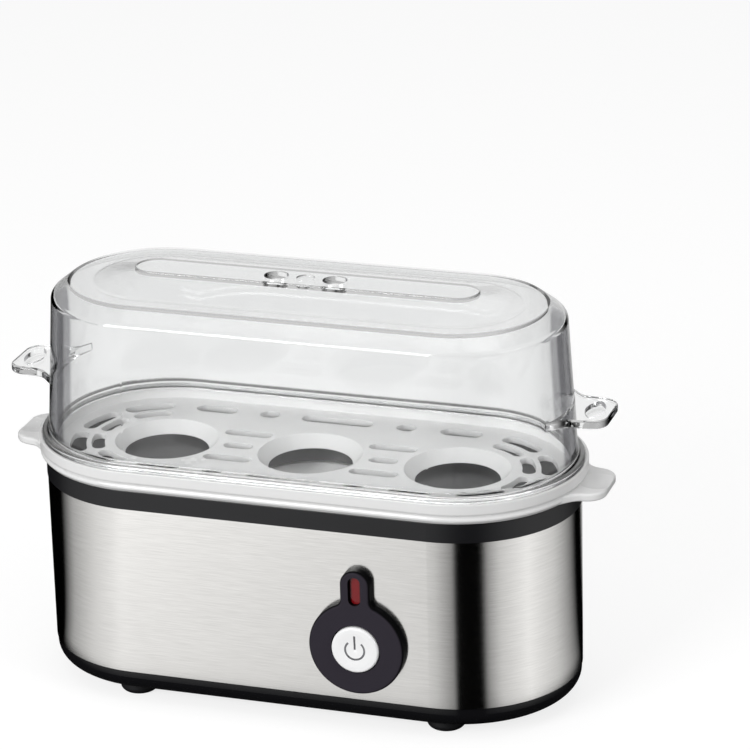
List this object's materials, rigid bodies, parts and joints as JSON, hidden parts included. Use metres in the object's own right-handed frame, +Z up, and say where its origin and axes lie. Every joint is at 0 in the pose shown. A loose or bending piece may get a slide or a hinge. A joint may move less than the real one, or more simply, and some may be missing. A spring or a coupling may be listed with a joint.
{
  "type": "electric egg cooker",
  "caption": "Electric egg steamer: an oblong steel base with a heating plate and push button, a lift-off egg rack with end tabs and a clear lid with end grips.",
  "frame": {"origin": "on the table, below the middle of the whole cooker", "axes": "+X along the cooker to the end nearer the button, -Y out of the front, +Z up"},
  "size_m": [0.203, 0.0848, 0.1394],
  "materials": {
    "clear_plastic": "clear, polished",
    "white_plastic": "white, glossy",
    "black_satin": "charcoal, satin",
    "black_gloss": "black, polished",
    "panel_black": "charcoal, satin",
    "brushed_steel": "brushed along the body",
    "plate_metal": "fine matt grain, bright rim",
    "red_lens": "red, translucent",
    "button_white": "silver white, glossy",
    "rubber": "matt black",
    "zinc": "zinc plated",
    "silicone": "red silicone",
    "element_steel": "dull, heat stained",
    "ceramic": "white ceramic",
    "brass": "plain",
    "board_green": "lacquered",
    "lamp_glass": "clear",
    "nylon": "natural white",
    "spring_steel": "bright wire",
    "wire_brown": "insulated, brown",
    "wire_white": "insulated, white silicone",
    "wire_blue": "insulated, blue",
    "wire_green": "insulated, green"
  },
  "bodies": {
    "base": {"bottom_cover": "black_gloss", "base_screws": "zinc", "steel_sleeve": "brushed_steel", "upper_housing": "black_satin", "plate_seal": "silicone", "heating_plate": "plate_metal", "clamp_ring": "zinc", "clamp_screws": "zinc", "heating_element": "element_steel", "thermostat": "ceramic", "thermostat_screws": "zinc", "thermal_fuse": "brass", "fuse_clip": "zinc", "control_panel": "panel_black", "indicator_lens": "red_lens", "control_board": "board_green", "board_screws": "zinc", "switch_body": "black_satin", "neon_lamp": "lamp_glass", "return_spring": "spring_steel", "terminal_block": "nylon", "block_screws": "zinc", "cord_gland": "black_satin", "gland_nut": "black_satin", "foot_front_left": "rubber", "foot_front_right": "rubber", "foot_rear_left": "rubber", "foot_rear_right": "rubber", "live_wire": "wire_brown", "switched_wire": "wire_brown", "element_wire": "wire_white", "fuse_wire": "wire_white", "neutral_wire": "wire_blue", "earth_wire": "wire_green"},
    "button": {"button_cap": "button_white", "switch_plunger": "nylon"},
    "rack": {"egg_rack": "white_plastic"},
    "cover": {"lid": "clear_plastic"}
  },
  "joints": [
    {"name": "button_press", "type": "slide", "parent": "base", "child": "button", "axis": [0, 1, 0], "range_m": [0, 0.002], "stiffness_N_per_m": 600, "springref_m": -0.002, "deforming": ["return_spring"]},
    {"name": "rack_lift", "type": "slide", "parent": "base", "child": "rack", "axis": [0, 0, 1], "range_m": [0, 0.06]},
    {"name": "lid_lift", "type": "slide", "parent": "rack", "child": "cover", "axis": [0, 0, 1], "range_m": [0, 0.08]}
  ]
}
